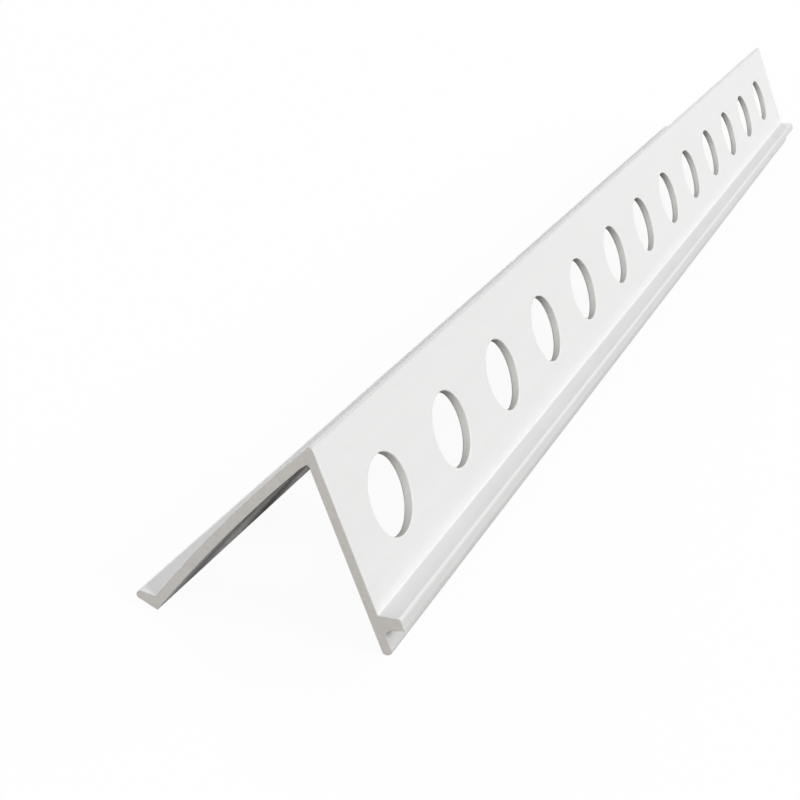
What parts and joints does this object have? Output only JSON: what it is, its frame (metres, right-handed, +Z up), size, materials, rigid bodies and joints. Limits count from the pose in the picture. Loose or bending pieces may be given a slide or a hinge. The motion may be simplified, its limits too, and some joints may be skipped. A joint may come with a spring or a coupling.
{
  "type": "drip corner bead",
  "caption": "V-section plastic corner bead with a row of punched key holes, a ground rib on the holed leg and a drip lip on the plain leg.",
  "frame": {"origin": "on the floor under the bead, at the middle of its bounding box in X and Y", "axes": "+Y along the length, from the end nearest the camera to the far end; +Z up towards the corner; the holed leg on the +X side"},
  "size_m": [0.0326, 0.256, 0.0229],
  "materials": {
    "pvc": "satin extruded rigid PVC, white"
  },
  "bodies": {
    "root": {"bead": "pvc"}
  },
  "joints": []
}
